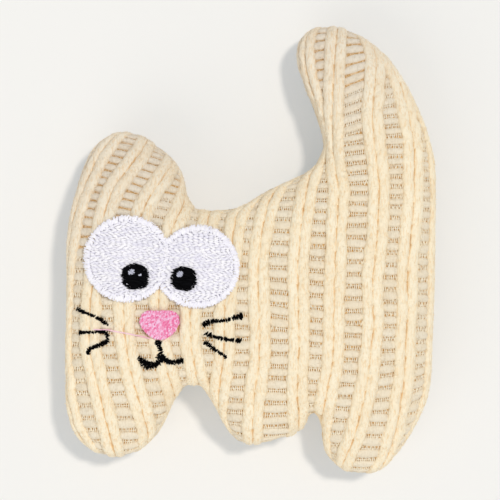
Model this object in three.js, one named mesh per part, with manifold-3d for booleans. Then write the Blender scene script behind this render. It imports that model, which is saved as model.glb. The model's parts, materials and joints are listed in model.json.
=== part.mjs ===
// A flat stuffed cat toy. Two rib-knit panels are sewn together round one outline, turned right side out
// and packed with wads of fibre round a catnip pouch. The face is embroidered on the front panel.
// The toy lies on its back, in millimetres: +Z is the face side, +Y runs to the tail tip, +X to the rump.
import * as THREE from "three";
import { mergeVertices } from "three/addons/utils/BufferGeometryUtils.js";
import Module from "manifold-3d";

const wasm = await Module();
wasm.setup();

// Skin and stuffing
const clearance = 0.3; // gap between neighbouring pieces
const fabricThickness = 2;
const frontCrown = 15; // height that the front panel's middle levels off at
const backCrown = 11;
const swell = 0.95; // how roundly a panel leaves the seam
const pressedFlat = 0.5; // depth of the flat that the toy's weight presses into its back

// Ribs of the front panel
const ribCrest = 1.2; // a rib's crest, above the panel's even face
const ribSink = 0.6; // the ladder between two ribs, below that face
const ribFlat = 2.5; // how far round an embroidered patch its stitches hold the ribs down

// Seam
const seamAllowance = 3;
const allowanceThickness = 1.2;
const stitchLine = 1.2; // from the panel's inner wall to the row of stitches
const sewingThread = 0.5;
const ladderPitch = 5; // one stitch of the hand-closed stretch
const ladderWidth = 1.6;

// Embroidery
const fillHeight = 0.7; // filled areas of thread
const strokeHeight = 0.6; // single lines of satin stitch
const pupilHeight = 0.5;
const glintHeight = 0.4;
const whiskerWidth = 1.1;
const mouthWidth = 1.4;
const jumpThread = 0.5;
const jumpStep = 2; // one facet along it
const backingThickness = 0.4;

// Catnip pouch
const pouchWidth = 36;
const pouchLength = 30;
const pouchCorner = 8;
const pouchCrown = 5;
const pouchSheet = 0.5;
const pouchCentre = { x: 19, y: -9 };

// Facets
const rimStep = 6.5; // along the outline
const rimTurn = THREE.MathUtils.degToRad(30); // most that the outline turns in one facet
const straightShare = 1.5; // a facet on a straight stretch, against one on an arc
const gridStep = 10; // inside the outline
const ribStep = 11; // along a rib
const edgeShare = 0.55; // how near the grid comes to the outline, against its own step
const rimRings = [0.6, 2.4, 5.6]; // depths of the rings that round the edge off
const pouchRings = [1.2];
const patchStep = 4.5; // inside an embroidered patch
const patchSides = 24; // round an embroidered ellipse
const threadSides = 5;
const relaxSweeps = 900; // passes of the membrane solver

// The cutting outline, anticlockwise from the rump. Round ends are arcs, notches are arcs that bend
// inwards, and the straight stretches are the tangents that join them.
const outlineArcs = {
  tailBack: { x: 2, y: 17.5, radius: 47.3 },
  tailCrest: { x: 17, y: 33, radius: 26.8 },
  tailTip: { x: 20.6, y: 52, radius: 8 },
  tailCrook: { x: 13, y: 27.5, radius: 6.4, notch: true },
  saddleRear: { x: -6, y: 19.2, radius: 9, notch: true },
  saddleFront: { x: -12, y: 15, radius: 4.5, notch: true },
  earBase: { x: -25.2, y: 17, radius: 8.2 },
  earTip: { x: -33.4, y: 22, radius: 9.6 },
  brow: { x: -20, y: 3, radius: 28.8 },
  chin: { x: -19, y: -26, radius: 30.3 },
  frontFoot: { x: -36.3, y: -42.8, radius: 12.6 },
  bellyNotch: { x: -15.3, y: -41, radius: 4.4, notch: true },
  middleToe: { x: 1.6, y: -42, radius: 9.9 },
  middleHeel: { x: 7.4, y: -42.4, radius: 7.4 },
  rearNotch: { x: 16.8, y: -46, radius: 2.3, notch: true },
  rearFoot: { x: 29.8, y: -50, radius: 10 },
  haunch: { x: 26.6, y: -33, radius: 21.8 },
};

// Where each rib crosses these heights, from the head's side to the rump's
const ribHeights = [46, 24, 8, -16, -36, -58];
const ribs = [
  [-27, -40.9, -47.7, -51, -50.3, -43.5],
  [-16, -30.4, -39.1, -42.6, -40.7, -35.8],
  [-5, -19.6, -29.8, -33.7, -31, -25],
  [0, -11, -19.5, -24.3, -21.2, -12],
  [3, -7.5, -11.5, -16, -14, -10],
  [6, 3, -3.8, -6.7, -8, -8],
  [9, 8.3, 3.9, 2.3, 1.7, 0.5],
  [15, 16.6, 14, 12.9, 12.8, 14],
  [22.4, 22.3, 23.4, 22.4, 21.2, 17.4],
  [33.2, 33.8, 34.3, 32.8, 31.2, 24.5],
  [40, 43.9, 43.3, 42, 40.9, 36.2],
  [45.5, 51.4, 51.8, 51.3, 50.2, 44.8],
];

// Heights at which partings in the stuffing, each from a notch, reach the outline's left or right side
const earParting = 12;
const cheekParting = -31;
const haunchParting = -33;
const tailParting = 21;

// The face, as it lies on the front panel
const leftEye = { x: -32.9, y: -2.4, width: 23, height: 23 };
const rightEye = { x: -14.1, y: -4.6, width: 22.6, height: 22 };
const eyeMeeting = { x: -23.1, y: -3.4, lean: 0.18 }; // the line where the eyes touch, and how it leans
const leftPupil = { x: -30.5, y: -7.4, width: 7.2, height: 7 };
const rightPupil = { x: -17.6, y: -8.1, width: 7, height: 6.4 };
const leftGlint = { x: -31.5, y: -6.1, width: 1.9, height: 1.9 };
const rightGlint = { x: -18.7, y: -6.8, width: 2, height: 2 };
const nose = { x: -24.2, y: -20.1, width: 10.8, height: 7.8, cheek: 2.9, tip: 2.4 };
const philtrum = [[-24.3, -24.9], [-24.1, -26.2], [-23.8, -27.6]];
const mouth = [
  [-30.1, -28.9],
  [-29, -30.4],
  [-27.4, -31.5],
  [-25.4, -30.9],
  [-23.6, -29.6],
  [-21.8, -30.1],
  [-19.9, -30.6],
  [-18.4, -29.9],
  [-17.2, -29.6],
];
const whiskerStrokes = {
  left_upper: [[-46, -16.3], [-42.6, -17.5], [-39.6, -18.8], [-37.8, -20.2]],
  left_middle: [[-45.5, -22.4], [-41.9, -22.2], [-38.9, -22.1], [-38.1, -23.2]],
  left_lower: [[-38, -25.2], [-39.6, -25.7], [-41.9, -26.5], [-43.1, -27.7]],
  right_upper: [[-12.3, -20.4], [-10.6, -19.7], [-6.8, -18.8], [-2, -18]],
  right_middle: [[-11.2, -22.8], [-8.2, -23.3], [-5.4, -24.1], [-2.7, -24.6]],
  right_lower: [[-11.9, -24.9], [-10.2, -26], [-7.8, -27.9], [-6.1, -29.2]],
};
const jumpRoute = [[-29.2, -23], [-32.5, -22.3], [-36, -21.8], [-39, -21.4], [-41.6, -21.4]];
const backing = { x: -22.5, y: -11.5, width: 42, height: 36 };

// Finishes
const finish = (color, roughness) => new THREE.MeshStandardMaterial({ color, roughness, metalness: 0 });
const creamKnit = finish(0xf0e2c4, 0.95);
const whiteThread = finish(0xe8e7f1, 0.55);
const blackThread = finish(0x0d0d0f, 0.5);
const pinkThread = finish(0xec8fc0, 0.5);
const creamThread = finish(0xf2e6cf, 0.7);
const fibreFill = finish(0xf6f5f1, 1);
const nonwoven = finish(0xececea, 0.9);
const driedLeaf = finish(0x7c8850, 1);

// Solids

function solidOf(geometry) {
  geometry.deleteAttribute("normal");
  geometry.deleteAttribute("uv");
  const merged = mergeVertices(geometry, 1e-4);
  return new wasm.Manifold(
    new wasm.Mesh({
      numProp: 3,
      vertProperties: merged.attributes.position.array,
      triVerts: new Uint32Array(merged.index.array),
    }),
  );
}

function piece(name, solid, material) {
  const { vertProperties, triVerts } = solid.getMesh();
  const geometry = new THREE.BufferGeometry();
  geometry.setAttribute("position", new THREE.BufferAttribute(vertProperties, 3));
  geometry.setIndex(new THREE.BufferAttribute(triVerts, 1));
  geometry.computeVertexNormals();
  const mesh = new THREE.Mesh(geometry, material);
  mesh.name = name;
  return mesh;
}

// A closed wall between two sheets of points. The first rim points of each are its edge. The sheets share
// their triangles unless the inner one has its own.
function walled(outer, inner, triangles, rim, innerTriangles = triangles) {
  const corners = [];
  for (const [a, b, c] of triangles) corners.push(outer[a], outer[b], outer[c]);
  for (const [a, b, c] of innerTriangles) corners.push(inner[a], inner[c], inner[b]);
  for (let i = 0; i < rim; i++) {
    const j = (i + 1) % rim;
    if (outer[i].distanceTo(inner[i]) > 0) {
      corners.push(outer[j], outer[i], inner[i], outer[j], inner[i], inner[j]);
    }
  }
  return solidOf(new THREE.BufferGeometry().setFromPoints(corners));
}

// A prism over a flat outline, from one height to another
function prism(points, low, high, hole) {
  const shape = new THREE.Shape(points);
  if (hole) shape.holes.push(new THREE.Path(hole));
  const geometry = new THREE.ExtrudeGeometry(shape, { depth: high - low, bevelEnabled: false });
  return solidOf(geometry.translate(0, 0, low));
}

function tube(points, diameter, stepLength) {
  const ring = new THREE.EllipseCurve(0, 0, diameter / 2, diameter / 2).getPoints(threadSides);
  const section = new THREE.Shape(ring.slice(1));
  const route = new THREE.CatmullRomCurve3(points);
  const steps = Math.ceil(route.getLength() / stepLength);
  return solidOf(new THREE.ExtrudeGeometry(section, { steps, extrudePath: route }));
}

// Outlines

// Points round a belt that is drawn tight over the arcs, each with its heading, inside on the left
function beltRound(arcs, step, turn) {
  const signed = arcs.map((arc) => (arc.notch ? -arc.radius : arc.radius));
  const headings = arcs.map((arc, i) => {
    const next = arcs[(i + 1) % arcs.length];
    const across = signed[(i + 1) % arcs.length] - signed[i];
    const apart = Math.hypot(next.x - arc.x, next.y - arc.y);
    return Math.atan2(next.y - arc.y, next.x - arc.x) - Math.asin(across / apart);
  });
  const belt = [];
  arcs.forEach((arc, i) => {
    const from = headings.at(i - 1);
    const way = Math.sign(signed[i]);
    const sweep = way * THREE.MathUtils.euclideanModulo(way * (headings[i] - from), 2 * Math.PI);
    const facets = Math.ceil(Math.max(Math.abs(sweep) / turn, Math.abs(sweep * signed[i]) / step));
    for (let k = 0; k <= facets; k++) {
      const heading = from + (sweep * k) / facets;
      const x = arc.x + signed[i] * Math.sin(heading);
      const y = arc.y - signed[i] * Math.cos(heading);
      belt.push({ x, y, heading });
    }
  });
  return belt.flatMap((end, i) => {
    const start = belt.at(i - 1);
    const pieces = Math.ceil(Math.hypot(end.x - start.x, end.y - start.y) / (straightShare * step));
    return Array.from({ length: pieces }, (_, k) => ({
      x: THREE.MathUtils.lerp(start.x, end.x, (k + 1) / pieces),
      y: THREE.MathUtils.lerp(start.y, end.y, (k + 1) / pieces),
      heading: end.heading,
      closing: i === 0 && k < pieces - 1, // on the last straight, which is sewn up by hand
    }));
  });
}

const drawnIn = (belt, depth) =>
  belt.map((p) => new THREE.Vector2(p.x - depth * Math.sin(p.heading), p.y + depth * Math.cos(p.heading)));

function ellipse({ x, y, width, height }, grow = 0) {
  const points = new THREE.EllipseCurve(x, y, width / 2 + grow, height / 2 + grow).getPoints(patchSides);
  return points.slice(1);
}

function strokeOutline(route, width) {
  const line = new THREE.SplineCurve(route.map(([x, y]) => new THREE.Vector2(x, y)));
  const steps = 2 * route.length;
  const side = (t, angle) => {
    const along = line.getTangent(t).angle();
    const at = line.getPoint(t);
    return new THREE.Vector2(
      at.x + (width / 2) * Math.cos(along + angle),
      at.y + (width / 2) * Math.sin(along + angle),
    );
  };
  const right = Array.from({ length: steps + 1 }, (_, k) => side(k / steps, -Math.PI / 2));
  const left = Array.from({ length: steps + 1 }, (_, k) => side(1 - k / steps, Math.PI / 2));
  const ends = [-Math.PI / 4, Math.PI / 4];
  return [
    ...right,
    ...ends.map((angle) => side(1, angle)),
    ...left,
    ...ends.map((angle) => side(0, Math.PI + angle)),
  ];
}

// Flat meshes

function within(outline, p) {
  let inside = false;
  outline.forEach((a, i) => {
    const b = outline.at(i - 1);
    if (a.y > p.y !== b.y > p.y && p.x < ((b.x - a.x) * (p.y - a.y)) / (b.y - a.y) + a.x) inside = !inside;
  });
  return inside;
}

// Points of a triangular grid inside an outline, clear of its edge
function gridWithin(outline, step) {
  const box = new THREE.Box2().setFromPoints(outline);
  const rowStep = step * Math.sqrt(3 / 4);
  const points = [];
  for (let row = 0; box.min.y + row * rowStep < box.max.y; row++) {
    for (let x = box.min.x + (row % 2) * (step / 2); x < box.max.x; x += step) {
      const p = new THREE.Vector2(x, box.min.y + row * rowStep);
      if (within(outline, p) && outline.every((q) => q.distanceTo(p) > edgeShare * step)) points.push(p);
    }
  }
  return points;
}

// Triangles over an outline and the points inside it, with thin ones evened out by swapping diagonals.
// They are found with each point a hair out of line, because points in a row are left out otherwise.
function triangulated(outline, inside) {
  const points = [...outline, ...inside];
  const hair = 1e-5;
  const nudged = points.map((p, i) => p.clone().add({ x: hair * Math.sin(i), y: hair * Math.cos(i * i) }));
  const loose = nudged.slice(outline.length).map((p) => [p]);
  const triangles = THREE.ShapeUtils.triangulateShape(nudged.slice(0, outline.length), loose);
  const corner = (a, b, c) => {
    const u = points[b].clone().sub(points[a]);
    const v = points[c].clone().sub(points[a]);
    return Math.abs(Math.atan2(u.cross(v), u.dot(v)));
  };
  let swaps = 1;
  for (let pass = 0; swaps && pass < points.length; pass++) {
    swaps = 0;
    const seen = new Map();
    const changed = new Set();
    for (let i = 0; i < triangles.length; i++) {
      for (let k = 0; k < 3 && !changed.has(i); k++) {
        const [a, b, c] = [0, 1, 2].map((n) => triangles[i][(k + n) % 3]);
        const across = seen.get(`${b} ${a}`);
        seen.set(`${a} ${b}`, [i, c]);
        if (!across || changed.has(across[0])) continue;
        const [other, d] = across;
        if (corner(c, a, b) + corner(d, a, b) < Math.PI + 1e-6) continue;
        triangles[i] = [c, d, b];
        triangles[other] = [d, c, a];
        changed.add(i).add(other);
        swaps++;
      }
    }
  }
  return triangles;
}

// Stuffed forms

// How far stuffing reaches at each point of a flat mesh: a skin held along its rim and pushed out evenly
function membrane(points, triangles, rim) {
  const pull = points.map(() => new Map());
  const push = points.map(() => 0);
  for (const triangle of triangles) {
    for (let k = 0; k < 3; k++) {
      const [a, b, c] = [0, 1, 2].map((n) => triangle[(k + n) % 3]);
      const u = points[a].clone().sub(points[c]);
      const v = points[b].clone().sub(points[c]);
      const weight = u.dot(v) / (2 * u.cross(v));
      pull[a].set(b, (pull[a].get(b) ?? 0) + weight);
      pull[b].set(a, (pull[b].get(a) ?? 0) + weight);
      push[a] += u.cross(v) / 6;
    }
  }
  const height = points.map(() => 0);
  for (let sweep = 0; sweep < relaxSweeps; sweep++) {
    for (let i = rim; i < points.length; i++) {
      let sum = push[i];
      let stiffness = 0;
      for (const [j, weight] of pull[i]) {
        sum += weight * height[j];
        stiffness += weight;
      }
      height[i] = sum / stiffness;
    }
  }
  return height.map((h) => Math.sqrt(2 * h));
}

// A flat mesh over the arcs, ringed along its edge and filled with points, with the reach of its stuffing
function stuffedForm(arcs, step, rings, filledWith) {
  const belt = beltRound(arcs, step, rimTurn);
  const rim = belt.length;
  const ringPoints = [0, ...rings].flatMap((depth) => drawnIn(belt, depth));
  const innermost = ringPoints.slice(-rim);
  const inside = filledWith(innermost);
  const start = rings.length * rim;
  const triangles = triangulated(innermost, inside).map((t) => t.map((i) => i + start));
  for (let ring = 0; ring < start; ring += rim) {
    for (let i = 0; i < rim; i++) {
      const [a, b] = [ring + i, ring + ((i + 1) % rim)];
      triangles.push([a, b, a + rim], [b, b + rim, a + rim]);
    }
  }
  const points = [...ringPoints, ...inside];
  return { belt, rim, start, points, triangles, reach: membrane(points, triangles, rim) };
}

// One side of a stuffed form: its points, and the way the skin faces at each
function dome(form, crown, lift) {
  const points = form.points.map(
    (p, i) => new THREE.Vector3(p.x, p.y, lift + crown * Math.tanh((swell * form.reach[i]) / crown)),
  );
  const geometry = new THREE.BufferGeometry().setFromPoints(points).setIndex(form.triangles.flat());
  geometry.computeVertexNormals();
  const facing = points.map((_, i) => new THREE.Vector3().fromBufferAttribute(geometry.attributes.normal, i));
  form.belt.forEach((p, i) => facing[i].set(Math.sin(p.heading), -Math.cos(p.heading), 0));
  return { points, facing };
}

const sunk = (side, depth) => side.points.map((p, i) => p.clone().addScaledVector(side.facing[i], -depth));

const turnedOver = (points) => points.map((p) => new THREE.Vector3(p.x, p.y, -p.z));

const evenGrid = (outline) => gridWithin(outline, gridStep);

const cat = stuffedForm(Object.values(outlineArcs), rimStep, rimRings, evenGrid);
const front = dome(cat, frontCrown, clearance / 2);
const back = dome(cat, backCrown, clearance / 2);
const backDepth = Math.max(...back.points.map((p) => p.z)) - pressedFlat;

// Rib knit

// Where the ribs stand at a height
function ribsAt(y) {
  const last = ribHeights.length - 1;
  const below = ribHeights.findIndex((height, i) => i === last || (i > 0 && y >= height));
  const share = (ribHeights[below - 1] - y) / (ribHeights[below - 1] - ribHeights[below]);
  return ribs.map((rib) => THREE.MathUtils.lerp(rib[below - 1], rib[below], share));
}

// Points along the ribs and along the ladders between them, in level rows, clear of the outline's edge
function ribGrid(outline) {
  const box = new THREE.Box2().setFromPoints(outline);
  const rows = Math.ceil((box.max.y - box.min.y) / ribStep);
  const points = [];
  for (let row = 0; row <= rows; row++) {
    const y = THREE.MathUtils.lerp(box.min.y, box.max.y, row / rows);
    const crests = ribsAt(y);
    const ladders = crests.slice(1).map((x, i) => (x + crests[i]) / 2);
    for (const x of [...crests, ...ladders]) {
      const p = new THREE.Vector2(x, y);
      const clear = outline.every((q) => q.distanceTo(p) > edgeShare * rimStep);
      if (clear && within(outline, p)) points.push(p);
    }
  }
  return points;
}

const sewnFlat = [leftEye, rightEye, nose];

// How far the ribs and ladders stand off the even face. Stitches hold them down.
function ribRise(p) {
  const underStitches = sewnFlat.some(({ x, y, width, height }) => {
    const across = (p.x - x) / (width / 2 + ribFlat);
    const up = (p.y - y) / (height / 2 + ribFlat);
    return Math.hypot(across, up) < 1;
  });
  if (underStitches) return 0;
  const crests = ribsAt(p.y);
  const next = THREE.MathUtils.clamp(crests.findIndex((x) => x > p.x), 1, crests.length - 1);
  const middle = (crests[next] + crests[next - 1]) / 2;
  const away = Math.abs(p.x - middle) / (crests[next] - middle);
  return THREE.MathUtils.lerp(-ribSink, ribCrest, Math.min(away, 1));
}

const knit = stuffedForm(Object.values(outlineArcs), rimStep, rimRings, ribGrid);
const evenFace = dome(knit, frontCrown, clearance / 2);
const ribbed = {
  points: evenFace.points.map((p, i) => {
    const rise = i < knit.start ? 0 : ribRise(knit.points[i]);
    return p.clone().addScaledVector(evenFace.facing[i], rise);
  }),
  facing: evenFace.facing,
};

// Panels

// The edge of a panel that is folded in and lies along the seam
function allowance(grow) {
  const outer = drawnIn(cat.belt, fabricThickness / 2);
  const inner = drawnIn(cat.belt, fabricThickness + seamAllowance + grow);
  return prism(outer, clearance / 2 - grow, clearance / 2 + allowanceThickness + grow, inner);
}

function frontPanel() {
  const skin = walled(ribbed.points, sunk(front, fabricThickness), knit.triangles, knit.rim, cat.triangles);
  return skin.add(allowance(0));
}

function backPanel() {
  const pressed = back.points.map((p) => new THREE.Vector3(p.x, p.y, Math.min(p.z, backDepth)));
  const inner = sunk(back, fabricThickness);
  const skin = walled(turnedOver(inner), turnedOver(pressed), cat.triangles, cat.rim);
  return skin.add(allowance(0).mirror([0, 0, 1]));
}

// Seam

const threadRise = clearance / 2 + allowanceThickness + clearance + sewingThread / 2;

function seamThread(side) {
  const run = cat.belt.filter((p) => !p.closing);
  const line = drawnIn(run, fabricThickness + stitchLine);
  return tube(line.map((p) => new THREE.Vector3(p.x, p.y, side * threadRise)), sewingThread, rimStep);
}

function closingThread() {
  const ends = [cat.belt.at(-1), cat.belt.find((p) => !p.closing)];
  const [start, end] = drawnIn(ends, fabricThickness + stitchLine);
  const along = end.clone().sub(start);
  const stitches = Math.floor((along.length() - 2 * ladderWidth) / ladderPitch);
  const across = new THREE.Vector2(-along.y, along.x).normalize();
  const points = [];
  for (let k = 0; k <= 2 * stitches; k++) {
    const share = (ladderWidth + (k * ladderPitch) / 2) / along.length();
    const p = start.clone().addScaledVector(along, share).addScaledVector(across, (k % 2) * ladderWidth);
    points.push(new THREE.Vector3(p.x, p.y, threadRise));
  }
  return tube(points, sewingThread, ladderPitch / 4);
}

// Embroidery

// A point on one side of a form, raised square to it
function raised(form, side, p, rise) {
  for (const triangle of form.triangles) {
    const [a, b, c] = triangle.map((i) => form.points[i]);
    const area = b.clone().sub(a).cross(c.clone().sub(a));
    const u = c.clone().sub(b).cross(p.clone().sub(b)) / area;
    const v = a.clone().sub(c).cross(p.clone().sub(c)) / area;
    const shares = [u, v, 1 - u - v];
    if (Math.min(...shares) < -1e-9) continue;
    const at = new THREE.Vector3();
    const facing = new THREE.Vector3();
    triangle.forEach((i, k) => {
      at.addScaledVector(side.points[i], shares[k]);
      facing.addScaledVector(side.facing[i], shares[k]);
    });
    return at.addScaledVector(facing.normalize(), rise);
  }
  throw new Error(`${p.x}, ${p.y} is not on the front panel`);
}

const onFront = (p, rise) => raised(knit, ribbed, p, rise);
const onEvenFace = (p, rise) => raised(cat, front, p, rise);

// A sheet of even thickness over part of the front panel
function patch(outline, low, high, place = onFront) {
  const inside = gridWithin(outline, patchStep);
  const points = [...outline, ...inside];
  return walled(
    points.map((p) => place(p, high)),
    points.map((p) => place(p, low)),
    triangulated(outline, inside),
    outline.length,
  );
}

const eyeTop = clearance + fillHeight + clearance;
const pupilTop = eyeTop + pupilHeight + clearance;
const strokeTop = clearance + strokeHeight + clearance;

// The room that the front panel takes up, with its clearance
function keptClear() {
  const skin = sunk(ribbed, -clearance);
  const floor = skin.map((p) => new THREE.Vector3(p.x, p.y, 0));
  return walled(skin, floor, knit.triangles, knit.rim);
}

const fabricRoom = keptClear();

// Thread sewn on the front panel itself
const sewn = (outline, height) => patch(outline, 0, clearance + height).subtract(fabricRoom);

function eyeWhite(eye, side) {
  const outline = ellipse(eye).map((p) => {
    const edge = eyeMeeting.x + eyeMeeting.lean * (p.y - eyeMeeting.y) + (side * clearance) / 2;
    return new THREE.Vector2(side < 0 ? Math.min(p.x, edge) : Math.max(p.x, edge), p.y);
  });
  return sewn(outline, fillHeight);
}

function nosePatch() {
  const { x, y, width, height, cheek, tip } = nose;
  const corners = [
    { x: x, y: y - height / 2 + tip, radius: tip },
    { x: x + width / 2 - cheek, y: y + height / 2 - cheek, radius: cheek },
    { x: x - width / 2 + cheek, y: y + height / 2 - cheek, radius: cheek },
  ];
  return sewn(drawnIn(beltRound(corners, cheek, rimTurn), 0), fillHeight);
}

const stroke = (route, width) => sewn(strokeOutline(route, width), strokeHeight);

// The nose's thread, carried over to the whiskers and left uncut
function noseJump() {
  const rise = strokeTop + jumpThread / 2;
  return tube(jumpRoute.map(([x, y]) => onFront(new THREE.Vector2(x, y), rise)), jumpThread, jumpStep);
}

const backingTop = -fabricThickness - clearance;
const backingFoot = backingTop - backingThickness;

const faceBacking = () => patch(ellipse(backing), backingFoot, backingTop, onEvenFace);

const backingRecess = () => patch(ellipse(backing, clearance), backingFoot - clearance, 0, onEvenFace);

// Catnip pouch

const pouchArcs = [[1, 1], [-1, 1], [-1, -1], [1, -1]].map(([right, up]) => ({
  x: pouchCentre.x + right * (pouchWidth / 2 - pouchCorner),
  y: pouchCentre.y + up * (pouchLength / 2 - pouchCorner),
  radius: pouchCorner,
}));
const pouch = stuffedForm(pouchArcs, rimStep, pouchRings, evenGrid);
const pouchSide = dome(pouch, pouchCrown, clearance / 2);

function pouchSheetSolid() {
  return walled(pouchSide.points, sunk(pouchSide, pouchSheet), pouch.triangles, pouch.rim);
}

// A solid between a form's two sides, shrunk by one depth on both, whose edges meet at the seam
function filling(form, upper, lower, depth) {
  const shut = (points) => points.map((p, i) => (i < form.rim ? p.setZ(0) : p));
  const over = shut(sunk(upper, depth));
  const under = shut(turnedOver(sunk(lower, depth)));
  return walled(over, under, form.triangles, form.rim);
}

// Stuffing

const farOut = 1.5 * Math.max(...cat.belt.map((p) => Math.hypot(p.x, p.y))); // clear of the outline all round

// A gap through the stuffing, from a notch to beyond the outline or to another notch
function parting(from, to) {
  const along = Math.atan2(to.y - from.y, to.x - from.x);
  const slab = new THREE.BoxGeometry(Math.hypot(to.x - from.x, to.y - from.y), clearance, farOut);
  slab.rotateZ(along).translate((from.x + to.x) / 2, (from.y + to.y) / 2, 0);
  return solidOf(slab);
}

function stuffing() {
  const bottom = (arc) => ({ x: arc.x, y: arc.y - arc.radius });
  const top = (arc) => ({ x: arc.x, y: arc.y + arc.radius });
  const crook = outlineArcs.tailCrook;
  const saddle = bottom(outlineArcs.saddleFront);
  const belly = top(outlineArcs.bellyNotch);
  const rear = top(outlineArcs.rearNotch);
  const earEnd = { x: -farOut, y: earParting };
  const cheekEnd = { x: -farOut, y: cheekParting };
  const haunchEnd = { x: farOut, y: haunchParting };
  const tailEnd = { x: farOut, y: tailParting };
  const partings = [
    [saddle, earEnd],
    [saddle, belly],
    [belly, cheekEnd],
    [belly, rear],
    [rear, haunchEnd],
    [crook, tailEnd],
  ];
  const below = (p) => ({ x: p.x, y: -farOut });
  const above = (p) => ({ x: p.x, y: farOut });
  const regions = {
    ear_stuffing: [saddle, above(saddle), above(earEnd), earEnd],
    head_stuffing: [saddle, earEnd, cheekEnd, belly],
    front_leg_stuffing: [belly, cheekEnd, below(cheekEnd), below(belly)],
    middle_leg_stuffing: [belly, below(belly), below(rear), rear],
    rear_leg_stuffing: [rear, below(rear), below(haunchEnd), haunchEnd],
    tail_stuffing: [crook, tailEnd, above(tailEnd), above(saddle)],
    torso_stuffing: [saddle, belly, rear, haunchEnd, tailEnd, crook],
  };
  const threadGroove = allowance(clearance + sewingThread + clearance);
  let fill = filling(cat, front, back, fabricThickness + clearance)
    .subtract(threadGroove)
    .subtract(threadGroove.mirror([0, 0, 1]))
    .subtract(backingRecess());
  for (const [from, to] of partings) fill = fill.subtract(parting(from, to));
  const corners = (region) => region.map((p) => new THREE.Vector2(p.x, p.y));
  const wads = Object.entries(regions).map(([name, region]) => [
    name,
    fill.intersect(prism(corners(region), -farOut, farOut)),
  ]);
  const [, torso] = wads.pop();
  const hollow = filling(pouch, pouchSide, pouchSide, -clearance);
  const everywhere = corners([below(cheekEnd), below(haunchEnd), above(haunchEnd), above(cheekEnd)]);
  const upper = prism(everywhere, clearance / 2, farOut);
  const lower = prism(everywhere, -farOut, -clearance / 2);
  wads.push(["torso_stuffing_front", torso.subtract(hollow).intersect(upper)]);
  wads.push(["torso_stuffing_back", torso.subtract(hollow).intersect(lower)]);
  return wads;
}

// Assembly, with the seam lifted so that the flat on the back lies at zero

const toy = new THREE.Group();
const seamed = new THREE.Group();
seamed.position.z = backDepth;
toy.add(seamed);

seamed.add(piece("front_panel", frontPanel(), creamKnit));
seamed.add(piece("back_panel", backPanel(), creamKnit));
seamed.add(piece("seam_needle_thread", seamThread(1), creamThread));
seamed.add(piece("seam_bobbin_thread", seamThread(-1), creamThread));
seamed.add(piece("closing_thread", closingThread(), creamThread));

for (const [name, solid] of stuffing()) seamed.add(piece(name, solid, fibreFill));
seamed.add(piece("catnip_pouch_front", pouchSheetSolid(), nonwoven));
seamed.add(piece("catnip_pouch_back", pouchSheetSolid().mirror([0, 0, 1]), nonwoven));
seamed.add(piece("catnip_leaf", filling(pouch, pouchSide, pouchSide, pouchSheet + clearance), driedLeaf));

seamed.add(piece("embroidery_backing", faceBacking(), nonwoven));
seamed.add(piece("left_eye_white", eyeWhite(leftEye, -1), whiteThread));
seamed.add(piece("right_eye_white", eyeWhite(rightEye, 1), whiteThread));
seamed.add(piece("left_pupil", patch(ellipse(leftPupil), eyeTop, eyeTop + pupilHeight), blackThread));
seamed.add(piece("right_pupil", patch(ellipse(rightPupil), eyeTop, eyeTop + pupilHeight), blackThread));
seamed.add(piece("left_glint", patch(ellipse(leftGlint), pupilTop, pupilTop + glintHeight), whiteThread));
seamed.add(piece("right_glint", patch(ellipse(rightGlint), pupilTop, pupilTop + glintHeight), whiteThread));
seamed.add(piece("nose", nosePatch(), pinkThread));
seamed.add(piece("nose_jump_thread", noseJump(), pinkThread));
seamed.add(piece("philtrum", stroke(philtrum, mouthWidth), blackThread));
seamed.add(piece("mouth", stroke(mouth, mouthWidth), blackThread));
for (const [place, route] of Object.entries(whiskerStrokes)) {
  seamed.add(piece(`${place}_whisker`, stroke(route, whiskerWidth), blackThread));
}

export default toy;
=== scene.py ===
import json
import math
import random
from contextlib import contextmanager

import bmesh
import bpy
import numpy as np
from mathutils import Matrix, Vector, noise
from mathutils.bvhtree import BVHTree
from mathutils.interpolate import poly_3d_calc


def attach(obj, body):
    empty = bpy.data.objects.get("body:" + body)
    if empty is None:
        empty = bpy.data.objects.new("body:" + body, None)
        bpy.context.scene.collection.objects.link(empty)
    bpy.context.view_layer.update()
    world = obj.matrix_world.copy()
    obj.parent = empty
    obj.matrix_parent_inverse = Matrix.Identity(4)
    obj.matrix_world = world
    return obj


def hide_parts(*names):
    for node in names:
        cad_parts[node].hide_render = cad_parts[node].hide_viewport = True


# A flat stuffed cat toy: two rib-knit panels round a stuffed form, with an embroidered face.
# In the dictionaries lengths are in millimetres and angles in degrees. The scene is in metres.

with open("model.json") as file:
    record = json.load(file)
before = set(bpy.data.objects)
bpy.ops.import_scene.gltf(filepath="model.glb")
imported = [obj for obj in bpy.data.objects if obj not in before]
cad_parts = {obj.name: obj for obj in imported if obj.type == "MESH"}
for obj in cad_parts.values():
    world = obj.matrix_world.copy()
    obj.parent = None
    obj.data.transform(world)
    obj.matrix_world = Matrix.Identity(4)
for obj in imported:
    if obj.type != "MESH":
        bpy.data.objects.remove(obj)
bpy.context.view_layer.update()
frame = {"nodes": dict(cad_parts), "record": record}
mm = 0.001
chance = random.Random(11)
scene = bpy.context.scene
slotOf = {part["node"]: part["material_slot"] for part in frame["record"]["subparts"]}


# camera, light and floor

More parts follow.
